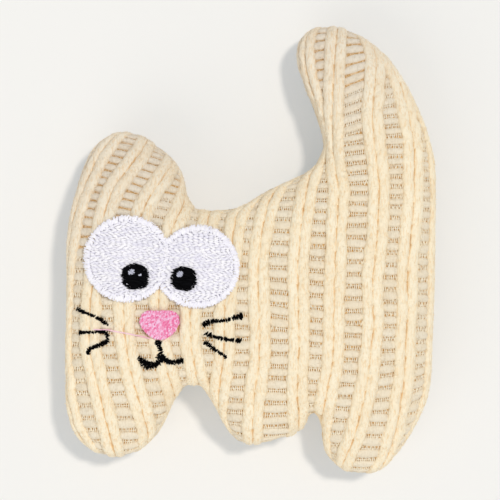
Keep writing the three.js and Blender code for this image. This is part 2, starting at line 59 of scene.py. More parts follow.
shot = {
    "lens": 180,
    "sensor": 36,
    "distance": 668,
    "nearest": 10,
    "aim": (0, -0.27),
    "outlineHeight": 10.5,  # height of the seam, which draws the outline
    # for each lamp the side that it stands on, its height, its spread and its strength
    "lamps": {"sun": ((0.81, 0.59), 67.5, 7, 1.42), "fill": ((-0.55, -0.83), 30, 60, 0.8)},
    "skyStrength": 0.52,
    "floorSize": 3000,
    "floorGrain": (3, 2),
    "floorTones": ((0.701, 0.638, 0.557), (0.711, 0.647, 0.565)),
    "floorGlow": (0.159, 0.217, 0.274),  # light of the floor's own, as on a light table
}
seamHeight = shot["outlineHeight"]


def linked(name, data):
    piece = bpy.data.objects.new(name, data)
    scene.collection.objects.link(piece)
    return piece


def setCamera():
    lens = bpy.data.cameras.new("camera")
    lens.lens = shot["lens"]
    lens.sensor_width = shot["sensor"]
    lens.clip_start = shot["nearest"] * mm
    scene.camera = linked("camera", lens)
    scene.camera.location = Vector((*shot["aim"], seamHeight + shot["distance"])) * mm


def setLight():
    for name, (side, height, spread, strength) in shot["lamps"].items():
        across = math.cos(math.radians(height))
        toLamp = Vector((side[0] * across, side[1] * across, math.sin(math.radians(height))))
        lamp = bpy.data.lights.new(name, "SUN")
        lamp.energy = strength
        lamp.angle = math.radians(spread)
        placed = linked(name, lamp)
        placed.rotation_mode = "QUATERNION"
        placed.rotation_quaternion = toLamp.to_track_quat("Z", "Y")
    sky = bpy.data.worlds.new("sky")
    sky.use_nodes = True
    backdrop = sky.node_tree.nodes["Background"]
    backdrop.inputs["Color"].default_value = (1, 1, 1, 1)
    backdrop.inputs["Strength"].default_value = shot["skyStrength"]
    scene.world = sky
    scene.view_settings.view_transform = "Standard"


setCamera()
setLight()
print("stage: camera and light")


# shader helpers

def feed(tree, entry, item):
    if isinstance(item, Shade):
        tree.links.new(item.socket, entry)
    else:
        entry.default_value = item


class Shade:
    def __init__(self, socket):
        self.socket = socket

    def maths(self, operation, first, second):
        tree = self.socket.id_data
        node = tree.nodes.new("ShaderNodeMath")
        node.operation = operation
        for entry, item in zip(node.inputs, (first, second)):
            feed(tree, entry, item)
        return Shade(node.outputs[0])

    def __add__(self, other):
        return self.maths("ADD", self, other)

    def __radd__(self, other):
        return self.maths("ADD", other, self)

    def __sub__(self, other):
        return self.maths("SUBTRACT", self, other)

    def __rsub__(self, other):
        return self.maths("SUBTRACT", other, self)

    def __mul__(self, other):
        return self.maths("MULTIPLY", self, other)

    def __rmul__(self, other):
        return self.maths("MULTIPLY", other, self)


class Finish:
    def __init__(self, name, roughness, sheen=0.0, shine=0.25):
        self.material = bpy.data.materials.new(name)
        self.material.use_nodes = True
        self.tree = self.material.node_tree
        self.shader = self.tree.nodes["Principled BSDF"]
        self.put("Roughness", roughness)
        self.put("Sheen Weight", sheen)
        self.put("Specular IOR Level", shine)

    def put(self, name, item):
        feed(self.tree, self.shader.inputs[name], item)

    def node(self, kind, settings, sockets, output=0):
        made = self.tree.nodes.new(kind)
        for name, value in settings.items():
            setattr(made, name, value)
        for name, item in sockets.items():
            feed(self.tree, made.inputs[name], item)
        return Shade(made.outputs[output])

    def attribute(self, name):
        return self.node("ShaderNodeAttribute", {"attribute_name": name}, {}, "Fac")

    def place(self):
        return self.node("ShaderNodeTexCoord", {}, {}, "Object")

    def grain(self, scale, detail, drawn=(1, 1, 1)):
        scaled = self.node("ShaderNodeVectorMath", {"operation": "MULTIPLY"}, {0: self.place(), 1: drawn})
        sockets = {"Vector": scaled, "Scale": scale, "Detail": detail, "Roughness": 0.6}
        return self.node("ShaderNodeTexNoise", {}, sockets)

    def towards(self, side, span):
        sockets = {0: self.place(), 1: side}
        along = self.node("ShaderNodeVectorMath", {"operation": "DOT_PRODUCT"}, sockets, "Value")
        return self.mapped(along, span[0] * mm, span[1] * mm)

    def mapped(self, value, low, high, least=0.0, most=1.0):
        ends = {"Value": value, "From Min": low, "From Max": high, "To Min": least, "To Max": most}
        return self.node("ShaderNodeMapRange", {"interpolation_type": "SMOOTHSTEP"}, ends)

    def mixed(self, factor, first, second, blend="MIX"):
        ends = {0: factor}
        for entry, item in ((6, first), (7, second)):
            ends[entry] = item if isinstance(item, Shade) else (*item, 1)
        return self.node("ShaderNodeMix", {"data_type": "RGBA", "blend_type": blend}, ends, 2)

    def bump(self, height, strength, distance):
        sockets = {"Height": height, "Strength": strength, "Distance": distance * mm}
        self.put("Normal", self.node("ShaderNodeBump", {}, sockets))


# mesh helpers

@contextmanager
def edited(mesh):
    shape = bmesh.new()
    if len(mesh.vertices):
        shape.from_mesh(mesh)
    yield shape
    shape.to_mesh(mesh)
    shape.free()


def readVectors(items, name):
    flat = np.empty(len(items) * 3, np.float32)
    items.foreach_get(name, flat)
    return flat.reshape(-1, 3).astype(float)


def pointsOf(mesh):
    return readVectors(mesh.vertices, "co")


def normalsOf(mesh):
    return readVectors(mesh.vertex_normals, "vector")


def edgesOf(mesh):
    pairs = np.empty(len(mesh.edges) * 2, np.int32)
    mesh.edges.foreach_get("vertices", pairs)
    return pairs[0::2], pairs[1::2]


def movePoints(mesh, places):
    mesh.vertices.foreach_set("co", places.astype(np.float32).ravel())
    mesh.update()


def easedNormals(mesh, sweeps):
    eased = normalsOf(mesh)
    starts, ends = edgesOf(mesh)
    for sweep in range(sweeps):
        total = eased.copy()
        np.add.at(total, starts, eased[ends])
        np.add.at(total, ends, eased[starts])
        eased = total / np.linalg.norm(total, axis=1, keepdims=True)
    return eased


def slopeOf(normals):
    return np.degrees(np.arccos(np.clip(np.abs(normals[:, 2]), 0, 1)))


def softStep(value, low, high):
    part = np.clip((value - low) / (high - low), 0, 1)
    return part * part * (3 - 2 * part)


def islandOf(seeds):
    # all the vertices that edges join to these
    island = list(seeds)
    reached = set(island)
    for vert in island:
        for edge in vert.link_edges:
            other = edge.other_vert(vert)
            if other not in reached:
                reached.add(other)
                island.append(other)
    return island


def applyModifiers(piece):
    graph = bpy.context.evaluated_depsgraph_get()
    mesh = bpy.data.meshes.new_from_object(piece.evaluated_get(graph))
    piece.modifiers.clear()
    piece.data = mesh


# the stuffed body under the knitting

body = {
    "voxel": 2.3,
    "levelFrom": 0.55,  # the front's ribs are levelled where it faces up by this much
    "levelSweeps": 10,
    "sunk": 1.25,  # the ground cloth starts this far inside the solid
    "edgeRadius": 4,  # the stuffing rounds the edge above and below the seam
    "edgeFade": 5,
    "pressure": 4,
    "frames": 20,
    "cap": 0.7,
    "seamPinned": 1.3,  # the cloth is held this near to the seam,
    "seamUpright": 0.5,  # where it faces up or down by less than this
    "smoothSweeps": 2,
    "restHeight": 1.9,  # the back lies flat here, on the knit's own thickness
    "fill": 0.75,
    "tight": (46, 84),  # between these slopes the knit is drawn tight towards the seam
    "tightest": 0.38,
    "tightSweeps": 4,
    "tightLift": 1.95,  # the ground cloth comes up by this much where the knit would be quite flat
    # bays and notches: a place in the open, how far it reaches and how far the cloth is drawn away from it
    "hollows": [((16.0, -51.5), 7, 1.0), ((-14.7, -43.6), 14, 1.3), ((11, 31), 18, 1.5),
                ((-9.4, 19.8), 16, 1.5)],
    # full ends: a place beyond the foot, ear or tail that the cloth is drawn towards
    "fullEnds": [((30.5, -68), 16, 1.3), ((-36, -66), 16, 1.5), ((1.3, -62), 16, 0.9), ((-53, 28), 16, 1.2),
                 ((6, 62), 16, 1.0)],
    # small shifts of the outline: a place, how far around it and which way
    "shifts": [((17, -45), 5, (0, 2.0)), ((21.5, -52.5), 9, (-0.7, -0.4)), ((11, -48.5), 8, (0.8, -0.5)),
               ((13.5, -46.5), 5, (0.7, -0.4)), ((-15, -38), 6, (0, 1.0)), ((-23, -47), 10, (0.9, -0.5)),
               ((-32, -55.5), 8, (0, -0.6)), ((-1.5, -50.5), 6, (-0.3, -0.5)), ((40, -51), 10, (0.4, -0.3)),
               ((43, 42), 20, (-0.25, -0.12)), ((17, 27), 7, (1.0, -0.7)), ((13.5, 21), 9, (0.2, -0.6)),
               ((-15.5, 12.5), 6, (-0.4, -0.6)), ((-3, 12.5), 9, (-0.2, 0.4)), ((-50, -15), 45, (0.5, 0)),
               ((-44, 18.5), 12, (-0.3, 0.2)), ((13.5, 48), 9, (-0.4, 0.1)), ((47.5, -25), 16, (-0.3, 0))],
}
panelNodes = ["front_panel", "back_panel"]
packedSlots = ("fibre_fill", "nonwoven", "dried_leaf")
packedNodes = [node for node, slot in slotOf.items() if slot in packedSlots]


def outerIslandOnly(mesh):
    with edited(mesh) as shape:
        islands = []
        unseen = set(shape.verts)
        while unseen:
            islands.append(islandOf([next(iter(unseen))]))
            unseen.difference_update(islands[-1])
        for island in sorted(islands, key=len)[:-1]:
            bmesh.ops.delete(shape, geom=island, context="VERTS")


def levelRibs(mesh):
    with edited(mesh) as shape:
        faceUp = [vert for vert in shape.verts if vert.normal.z > body["levelFrom"]]
        for sweep in range(body["levelSweeps"]):
            bmesh.ops.smooth_vert(shape, verts=faceUp, factor=0.5, use_axis_z=True)


def roundedEdge(places):
    lift = places[:, 2] / mm - seamHeight
    rise = np.abs(lift)
    fuller = np.sqrt(rise ** 2 + 2 * body["edgeRadius"] * rise * np.exp(-rise / body["edgeFade"]))
    places[:, 2] = (seamHeight + np.sign(lift) * fuller) * mm
    return places


def stuff(skin, start):
    rim = skin.vertex_groups.new(name="seam")
    upright = np.abs(normalsOf(skin.data)[:, 2]) < body["seamUpright"]
    near = np.abs(start[:, 2] / mm - seamHeight) < body["seamPinned"]
    rim.add(np.nonzero(upright & near)[0].tolist(), 1.0, "REPLACE")
    cloth = skin.modifiers.new("cloth", "CLOTH")
    settings = cloth.settings
    settings.use_pressure = True
    settings.uniform_pressure_force = body["pressure"]
    settings.effector_weights.gravity = 0
    settings.vertex_group_mass = "seam"
    cloth.collision_settings.use_collision = False
    cloth.point_cache.frame_start = 1
    cloth.point_cache.frame_end = body["frames"]
    for step in range(1, body["frames"] + 1):
        scene.frame_set(step)
    applyModifiers(skin)
    moved = pointsOf(skin.data) - start
    reach = np.linalg.norm(moved, axis=1, keepdims=True)
    print("stuffing moved the cloth by up to", round(float(reach.max() / mm), 2), "mm")
    moved *= np.minimum(1, body["cap"] * mm / np.maximum(reach, 1e-9))
    movePoints(skin.data, start + moved)
    scene.frame_set(1)


def settle(mesh):
    with edited(mesh) as shape:
        for sweep in range(body["smoothSweeps"]):
            bmesh.ops.smooth_vert(shape, verts=shape.verts, factor=0.5, use_axis_x=True, use_axis_y=True,
                                  use_axis_z=True)
        for vert in shape.verts:
            vert.co.z = max(vert.co.z, body["restHeight"] * mm)


def drawIn(places):
    for spots, way in ((body["hollows"], 1), (body["fullEnds"], -1)):
        for centre, reach, draw in spots:
            away = places[:, :2] / mm - np.array(centre)
            far = np.maximum(np.linalg.norm(away, axis=1, keepdims=True), 0.1)
            places[:, :2] += away / far * way * draw * mm * np.clip(1 - far / reach, 0, 1)
    for centre, reach, shift in body["shifts"]:
        far = np.linalg.norm(places[:, :2] / mm - np.array(centre), axis=1, keepdims=True)
        places[:, :2] += np.array(shift) * mm * np.clip(1 - far / reach, 0, 1)
    return places


def reliefAt(eased):
    return 1 - (1 - body["tightest"]) * softStep(slopeOf(eased), *body["tight"])


def tighten(mesh):
    eased = easedNormals(mesh, body["tightSweeps"])
    lift = (1 - reliefAt(eased)) * body["tightLift"] * mm
    movePoints(mesh, pointsOf(mesh) + eased * lift[:, None])


def makeSkin():
    mesh = bpy.data.meshes.new("knit_ground")
    with edited(mesh) as shape:
        for node in panelNodes + packedNodes:
            shape.from_mesh(frame["nodes"][node].data)
        bmesh.ops.remove_doubles(shape, verts=shape.verts, dist=1e-6)
    skin = linked("knit_ground", mesh)
    remesh = skin.modifiers.new("remesh", "REMESH")
    remesh.mode = "VOXEL"
    remesh.voxel_size = body["voxel"] * mm
    applyModifiers(skin)
    outerIslandOnly(skin.data)
    levelRibs(skin.data)
    start = roundedEdge(pointsOf(skin.data) - normalsOf(skin.data) * body["sunk"] * mm)
    movePoints(skin.data, start)
    stuff(skin, start)
    settle(skin.data)
    finer = skin.modifiers.new("finer", "SUBSURF")
    finer.levels = 1
    finer.render_levels = 1
    applyModifiers(skin)
    movePoints(skin.data, drawIn(pointsOf(skin.data)))
    tighten(skin.data)
    skin.data.shade_smooth()
    return skin


skin = makeSkin()
print("stage: stuffed body,", len(skin.data.polygons), "faces")


# flat patterns laid on the two sides of the body

pattern = {
    "step": 0.7,
    "reach": (60, 70),
    "turnRadius": 10,  # how tightly the cloth turns over the edge
    "wall": 2.6,  # more cloth for the upright strip along the seam,
    "wallSlope": (60, 90),  # which begins and ends at these slopes
    "onTop": 0.05,  # where two walls overlap, the one nearer to its own outline lies on top
    "smoothing": 10,
    # where two walls stand close: a place, how far it reaches and the share of the cloth there is room for
    "narrow": [((17, -48), 12, 0.4), ((-15, -40), 14, 0.6), ((15, 27), 14, 0.7), ((-13, 15), 12, 0.6)],
    "edgeRings": (2, 6),  # cells added round the outline that are covered, and that only lead on
    "mostOff": 0.35,
    "sample": 0.35,
    "ways": 16,
    "mostStretch": 4,
    "stepSlack": 0.3,
    "edgeSlack": 0.5,
    # what is tried for a lobe that would be torn: the share of its length that is kept, and its shift
    "cutShort": [(1, 0), (0.7, 0.3), (0.7, -0.3), (0.45, 0.5), (0.45, -0.5), (0.3, 0)],
}
batchSize = 60  # lobes made in one mesh, because large ones slow the operators down
lumpScale = 1.1
cellCorners = [np.s_[:-1, :-1], np.s_[1:, :-1], np.s_[:-1, 1:], np.s_[1:, 1:]]


class Drape:
    def __init__(self, skin, side):
        self.side = side
        self.step = pattern["step"]
        self.low = -np.array(pattern["reach"], float)
        flat, faces, *values = self.flattened(skin)
        tree = BVHTree.FromPolygons(flat, faces)
        across, up = [int(2 * reach / self.step) + 1 for reach in pattern["reach"]]
        self.grids = [np.zeros((up, across, depth)) for depth in (3, 3, 1)]  # place, lift and relief
        self.known = np.zeros((up, across), bool)
        for row, column in np.ndindex(up, across):
            spot = self.low + np.array((column, row)) * self.step
            hit, normal, face, gap = tree.ray_cast(Vector((*spot, 1)), Vector((0, 0, -1)))
            if hit is None:
                continue
            corners = faces[face]
            shares = poly_3d_calc([flat[i] for i in corners], hit)
            self.known[row, column] = True
            for grid, value in zip(self.grids, values):
                grid[row, column] = np.dot(shares, value[corners])
        covered, leading = pattern["edgeRings"]
        self.spread(covered)
        self.covered = self.known.copy()
        self.spread(leading)
        self.sound = self.soundCells(skin, values[0])

    def flattened(self, skin):
        places = pointsOf(skin.data) / mm
        eased = easedNormals(skin.data, pattern["smoothing"])
        flat = places[:, :2].copy()
        if self.side > 0:  # the front is laid out as the camera sees it
            aim = np.array(shot["aim"], float)
            nearer = shot["distance"] / (shot["distance"] - (places[:, 2:] - seamHeight))
            flat = aim + (flat - aim) * nearer
        slope = np.arccos(np.clip(eased[:, 2] * self.side, -1, 1))
        sideways = eased[:, :2] / np.maximum(np.linalg.norm(eased[:, :2], axis=1, keepdims=True), 1e-6)
        low, high = np.radians(pattern["wallSlope"])
        steep = np.clip((slope - low) / (high - low), 0, 1)
        beyond = pattern["turnRadius"] * (slope - np.sin(slope)) + pattern["wall"] * steep ** 2
        for centre, reach, room in pattern["narrow"]:
            far = np.linalg.norm(places[:, :2] - np.array(centre), axis=1)
            beyond *= room + (1 - room) * np.clip(far / reach, 0, 1)
        flat += sideways * beyond[:, None]
        flat = [Vector((*spot, -pattern["onTop"] * depth)) for spot, depth in zip(flat, beyond)]
        faces = []
        for face in skin.data.polygons:
            if (face.center.z / mm - seamHeight) * self.side > 0:
                faces.append(list(face.vertices))
        return flat, faces, places, normalsOf(skin.data), reliefAt(eased)

    def spread(self, rings):
        # each cell outside takes over a neighbour, so that two walls are never blended
        for ring in range(rings):
            for shift in ((1, 0), (-1, 0), (0, 1), (0, -1)):
                fresh = np.roll(self.known, shift, (0, 1)) & ~self.known
                for grid in self.grids:
                    grid[fresh] = np.roll(grid, shift, (0, 1))[fresh]
                self.known |= fresh

    def soundCells(self, skin, places):
        # a cell is sound where the middle between its corners still lies on the skin
        tree = BVHTree.FromPolygons(places.tolist(), [list(face.vertices) for face in skin.data.polygons])
        middle = sum(self.grids[0][corner] for corner in cellCorners) / 4
        sound = np.all([self.known[corner] for corner in cellCorners], axis=0)
        for row, column in np.argwhere(sound):
            sound[row, column] = tree.find_nearest(Vector(middle[row, column]))[3] < pattern["mostOff"]
        return sound

    def cells(self, flat):
        spot = (flat[:, :2] - self.low) / self.step
        spot = np.clip(spot, 0, np.array(self.known.shape[::-1]) - 1.001)
        whole = spot.astype(int)
        return whole[:, 1], whole[:, 0], spot - whole

    def covers(self, flat):
        row, column, part = self.cells(flat)
        return self.covered[row, column] & self.covered[row + 1, column + 1]

    def isSound(self, flat):
        row, column, part = self.cells(flat)
        return self.sound[row, column]

    def lay(self, flat):
        row, column, part = self.cells(flat)
        right, up = part[:, :1], part[:, 1:]
        found = []
        for grid in self.grids:
            top = grid[row + 1, column] * (1 - right) + grid[row + 1, column + 1] * right
            bottom = grid[row, column] * (1 - right) + grid[row, column + 1] * right
            found.append(bottom * (1 - up) + top * up)
        place, lift, relief = found
        lift /= np.maximum(np.linalg.norm(lift, axis=1, keepdims=True), 1e-6)
        return place + lift * relief * flat[:, 2:]


front = Drape(skin, 1)
back = Drape(skin, -1)
print("stage: flat patterns,", int(front.covered.sum()), int(back.covered.sum()), "cells")


# lobes: rounded pieces of yarn, made flat and then laid on the body

def wander(most):
    return chance.uniform(-most, most)


def turned(vector, degrees):
    return Matrix.Rotation(math.radians(degrees), 2) @ vector


def upFrom(along):
    return Vector((-along.y, along.x))


def fromAxes(first, second, third, centre):
    matrix = Matrix.Identity(4)
    for number, axis in enumerate((first, second, third)):
        matrix.col[number] = (*axis, 0)
    matrix.col[3] = (*centre, 1)
    return matrix


def lobeMatrix(spot, rise, along, across, height):
    # along and across are half-lengths as flat vectors, height is half the thickness
    return fromAxes((*across, 0), (0, 0, height), (*along, 0), (*spot, rise))


def wholeLobes(drape, lobes):
    # the cloth is torn where it jumps from one short step to the next
    centres = np.array([lobe.col[3][:3] for lobe in lobes])
    keep = drape.covers(centres)
    for way in np.arange(0, math.tau, math.tau / pattern["ways"]):
        across, along = math.cos(way), math.sin(way)
        offset = np.array([(lobe.col[0] * across + lobe.col[2] * along)[:3] for lobe in lobes])
        length = np.linalg.norm(offset, axis=1)
        count = math.ceil(length.max() / pattern["sample"])
        last = drape.lay(centres)
        for step in range(1, count + 1):
            spots = centres + offset * step / count
            here = drape.lay(spots)
            keep &= drape.isSound(spots)
            stretched = pattern["mostStretch"] * length / count + pattern["stepSlack"]
            keep &= np.linalg.norm(here - last, axis=1) < stretched
            last = here
    return keep


def notTorn(drape, lobes):
    # a lobe that would be torn over a notch is cut short, or left out
    kept = {}
    left = list(range(len(lobes)))
    for share, shift in pattern["cutShort"]:
        shorter = Matrix.Translation((0, 0, shift)) @ Matrix.Diagonal((1, 1, share, 1))
        tried = [lobes[index] @ shorter for index in left]
        if not tried:
            break
        whole = wholeLobes(drape, tried)
        kept.update({index: lobe for index, lobe, good in zip(left, tried, whole) if good})
        left = [index for index, good in zip(left, whole) if not good]
    return [kept[index] for index in sorted(kept)]


def roundLobe(shape, matrix, sides, rings):
    made = bmesh.ops.create_uvsphere(shape, u_segments=sides, v_segments=rings, radius=1, matrix=matrix)
    return made["verts"]


def fibre(shape, matrix, sides, rings):
    made = bmesh.ops.create_cone(shape, cap_ends=True, segments=sides, radius1=1, radius2=0, depth=2,
                                 matrix=matrix)
    return made["verts"]


def dropTorn(mesh, flat, laid):
    # a lobe with an edge that is drawn out far beyond its flat length goes as a whole
    starts, ends = edgesOf(mesh)
    before = np.linalg.norm(flat[starts] - flat[ends], axis=1)
    after = np.linalg.norm(laid[starts] - laid[ends], axis=1)
    torn = starts[after > pattern["mostStretch"] * before + pattern["edgeSlack"]]
    if not len(torn):
        return
    with edited(mesh) as shape:
        shape.verts.ensure_lookup_table()
        island = islandOf([shape.verts[index] for index in set(torn.tolist())])
        bmesh.ops.delete(shape, geom=island, context="VERTS")


def layLobes(name, drape, lobes, sides, rings, roughen=0.0, make=roundLobe):
    mesh = bpy.data.meshes.new(name)
    with edited(mesh) as whole:
        for first in range(0, len(lobes), batchSize):
            part = bpy.data.meshes.new("part")
            with edited(part) as batch:
                rise, tone, inner = [batch.verts.layers.float.new(word) for word in ("rise", "tone", "inner")]
                for lobe in lobes[first:first + batchSize]:
                    lobeTone = chance.random()
                    away = lobe.inverted_safe()
                    for vert in make(batch, lobe, sides, rings):
                        vert[rise] = vert.co.z
                        vert[tone] = lobeTone
                        vert[inner] = (away @ vert.co).x
                bmesh.ops.recalc_face_normals(batch, faces=batch.faces)
            whole.from_mesh(part)
            bpy.data.meshes.remove(part)
    flat = pointsOf(mesh)
    if roughen:
        lumps = np.array([noise.noise(Vector(point) * lumpScale) for point in flat])
        flat[:, 2] += lumps * roughen
    laid = drape.lay(flat)
    laid[:, 2] = np.maximum(laid[:, 2], 0)  # nothing goes into the floor
    movePoints(mesh, laid * mm)
    dropTorn(mesh, flat, laid)
    if drape is back:
        mesh.flip_normals()
    if make is roundLobe:
        mesh.shade_smooth()
    return linked(name, mesh)


def dress(piece, material, slot, *nodes):
    piece.data.materials.append(material)
    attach(piece, "root")
    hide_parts(*nodes)


# rib knit: pairs of chenille columns with a sunk ladder of rungs between them

knit = {
    # centre line of each rib from top to bottom
    "ribs": [
        [(-44, 34), (-47, 30), (-51, 24), (-54, 18), (-57, 11), (-59, 1), (-61, -22), (-59, -39), (-54, -56)],
        [(-33.7, 34.5), (-36.9, 30.5), (-40.9, 24.3), (-43.8, 17.9), (-47, 11), (-49.2, 1.1), (-50.5, -8.3),
         (-51.3, -21.6), (-51, -29.7), (-49.7, -39), (-47.6, -47), (-43.8, -56.4)],
        [(-24.1, 34.5), (-27.3, 29.1), (-30.2, 24.3), (-35, 18.2), (-37.7, 13.1), (-39, 8.3), (-42.5, -13.6),
         (-42.8, -25.7), (-40.9, -35), (-38.5, -45.2), (-36.3, -54.5), (-35.3, -60.4)],
        [(-16, 29.1), (-20.8, 22.4), (-25.4, 16.3), (-28.9, 9.9), (-33.7, -13.6), (-33.4, -24.3),
         (-31.3, -35), (-27.3, -48.4), (-24.6, -59.1)],
        [(-13.9, 18.4), (-17.1, 13.1), (-20.8, 5.6), (-24.3, -11), (-24.1, -25.7), (-21.4, -35.5),
         (-17.1, -45.7)],
        [(-9.6, 15.8), (-10.7, 9.9), (-16, -15), (-15.8, -25.7), (-14.4, -32.9), (-13.4, -40.4)],
        [(-0.5, 17.1), (-2.7, 11.8), (-4, 7.2), (-6.7, -15), (-6.9, -28.3), (-8.3, -39), (-9.9, -45.7)],
        [(8, 22.4), (5.3, 13.9), (3.5, 6.4), (2.1, -4.3), (2.7, -23), (2.4, -31), (1.3, -38.2), (0.5, -51),
         (0.5, -56.4)],
        [(15, 63), (14.2, 51.8), (15, 45.2), (16.3, 39.8), (17.1, 31.8), (16.6, 23.8), (15, 15.8),
         (13.6, 5.1), (12.8, -4.3), (13.1, -24.3), (12.6, -40.4), (13.6, -51)],
        [(24.3, 65.2), (23, 55.9), (22.4, 43.8), (21.9, 27.8), (23.8, 15.8), (23, 2.4), (22.4, -13.6),
         (22.2, -29.7), (19.8, -42.5), (18.2, -51), (17, -62)],
        [(32.1, 61.2), (33.7, 51.3), (32.6, 35), (34.5, 17.9), (34.2, 6.4), (32.6, -8.8), (32.9, -20.3),
         (31.3, -35.5), (28.1, -49.7), (24.9, -56.9), (22.2, -63.1)],
        [(36.9, 53.2), (40.9, 43.8), (43.8, 27.5), (43.6, 11.8), (42, -4.3), (42, -16.3), (40.9, -35.5),
         (39, -48.4), (36.6, -56.4), (34.7, -63.1)],
        [(42.8, 58), (46.8, 42.5), (51.3, 27.8), (52.1, 13.1), (51.3, 1.1), (51.3, -13.6), (51, -25.7),
         (50.2, -36.3), (48.1, -47), (44.9, -57.7)],
        [(58, 58), (60, 28), (61, 0), (60, -36), (56, -58)],
    ],
    "smoothing": 17,  # levels that a line is evened out over
    "firstCourse": 69.4,
    "lastCourse": -70,
    "course": 3.29,
    "courseInTail": 2.67,
    "tailFrom": (4, 21),  # the courses close up between these heights
    "courseInEar": 1.9,
    "earFrom": (-8, 22),
    "earAt": (-9, 15),  # ribs that pass to the left of this point run into the ear
    "courseFall": 0.085,
    "columnApart": 1.36,
    "columnShare": 0.93,  # of a column's width that hides the ends of the rungs
    "leg": (4.4, 1.62, 1.3),  # half length, half width, half thickness
    "legRise": 0.12,
    "legTilt": 6,
    "legUneven": (0.07, 4, 0.12, 0.1),  # in size, turn, place and rise
    "shortestRung": 0.4,
    "rungThickness": 0.95,
    "rungShown": 0.955,  # share of a rung's height that stands above the ground
    "rungGap": (0.65, 0.27),  # on the body, and where the rungs close up
    "rungRise": -0.28,
    "rungTuck": 0.8,
    "rungLength": 1.5,  # so that a rung is still full where it goes under the columns
    "rungUneven": (3, 0.06, 0.08),  # in turn, height and rise
    "binder": (0.85, 0.17, 0.26),
    "binderApart": 0.56,
    "binderRise": 0.24,
    "binderTilt": 9,
    "binderUneven": (0.09, 10),  # in place and turn
    "bindersTo": 0.7,  # there are none where the rungs close up further than this
    "crossThread": 0.1,  # half width of the thread along the middle of each gap
    "crossTuck": 0.5,
    "crossSway": 0.25,
    "closeTowards": (-0.5, 0.85),
    "closeSpan": (8, 30),
    "lobes": {"columns": (10, 6, 0.3), "rungs": (8, 6, 0.12), "binders": (6, 4, 0)},  # sides, rings and lumps
    "clear": 0.86,  # share of an embroidered patch that has no yarn under it
}
pile = {
    # fibres on each lobe, and how far towards its ends: a rung's lie under the columns and have none
    "columns": (34, 1),
    "rungs": (26, 0.5),
    "length": (0.55, 1.1),
    "radius": 0.075,
    "stand": (35, 70),  # from upright
    "rooted": 0.8,  # of a fibre's half length stands between its middle and the yarn
    "bareFrom": 0.6,  # the crease in a rib's middle stays bare
    "sides": 3,
    "clear": 0.97,
}
# where the rungs lean: centre, reach and angle
rungLeans = [((24, 42), 15, 24), ((-32, 18), 17, -15), ((10, -15), 14, -7), ((45, -38), 9, 20)]
heights = np.arange(70, -70, -0.5)  # levels that the ribs' lines are kept at


def smoothLine(knots):
    knots = sorted(knots, key=lambda knot: knot[1])
    line = np.interp(heights, [y for x, y in knots], [x for x, y in knots])
    window = np.hanning(knit["smoothing"])
    padded = np.pad(line, knit["smoothing"] // 2, mode="edge")
    return np.convolve(padded, window / window.sum(), mode="valid")


ribLines = [smoothLine(knots) for knots in knit["ribs"]]


def lineAt(line, y):
    return float(np.interp(-y, -heights, line))


def courses(line):
    # a place on the line for each course, the way down there and the step to the next one
    left, level = knit["earAt"]
    part = "Ear" if lineAt(line, level) < left else "Tail"
    closest = knit["courseIn" + part]
    level = knit["firstCourse"]
    while level > knit["lastCourse"]:
        closing = softStep(level, *knit[part.lower() + "From"])
        step = knit["course"] + (closest - knit["course"]) * closing
        y = level - knit["courseFall"] * max(0, lineAt(line, level))
        x = lineAt(line, y)
        yield Vector((x, y)), Vector((lineAt(line, y - 1) - x, -1)).normalized(), step
        level -= step


def rungLean(spot):
    lean = 0
    for (x, y), reach, angle in rungLeans:
        lean += angle * math.exp(-((spot[0] - x) ** 2 + (spot[1] - y) ** 2) / reach ** 2)
    return lean


def legLobes():
    lobes = []
    length, width, thickness = knit["leg"]
    sizes, turns, places, rises = knit["legUneven"]
    for line in ribLines:
        for spot, down, step in courses(line):
            for hand in (-1, 1):
                size = 1 + wander(sizes)
                along = turned(down, -hand * knit["legTilt"] + wander(turns))
                across = upFrom(along) * -hand  # towards the rib's middle
                centre = spot + upFrom(down) * hand * (knit["columnApart"] + wander(places))
                lobes.append(lobeMatrix(centre, knit["legRise"] + wander(rises), along * length * size,
                                        across * width * size, thickness * size))
    return lobes


def ladders():
    # each rung's middle, its direction, half its length, the way down and the step to the next rung
    hidden = 2 * (knit["columnApart"] + knit["leg"][1]) * knit["columnShare"]
    for left, right in zip(ribLines, ribLines[1:]):
        for spot, down, step in list(courses((left + right) / 2))[:-1]:
            lean = rungLean(spot)
            apart = lineAt(right - left, spot.y)
            half = 0.5 * (apart - hidden / abs(down.y)) / math.cos(math.radians(lean))
            if half > knit["shortestRung"]:
                yield spot, turned(Vector((1, 0)), lean), half, down, step


def closeness(spot):
    # the rungs close up towards the ear and the tip of the tail
    way = knit["closeTowards"]
    low, high = knit["closeSpan"]
    return min(1, max(0, (spot[0] * way[0] + spot[1] * way[1] - low) / (high - low)))


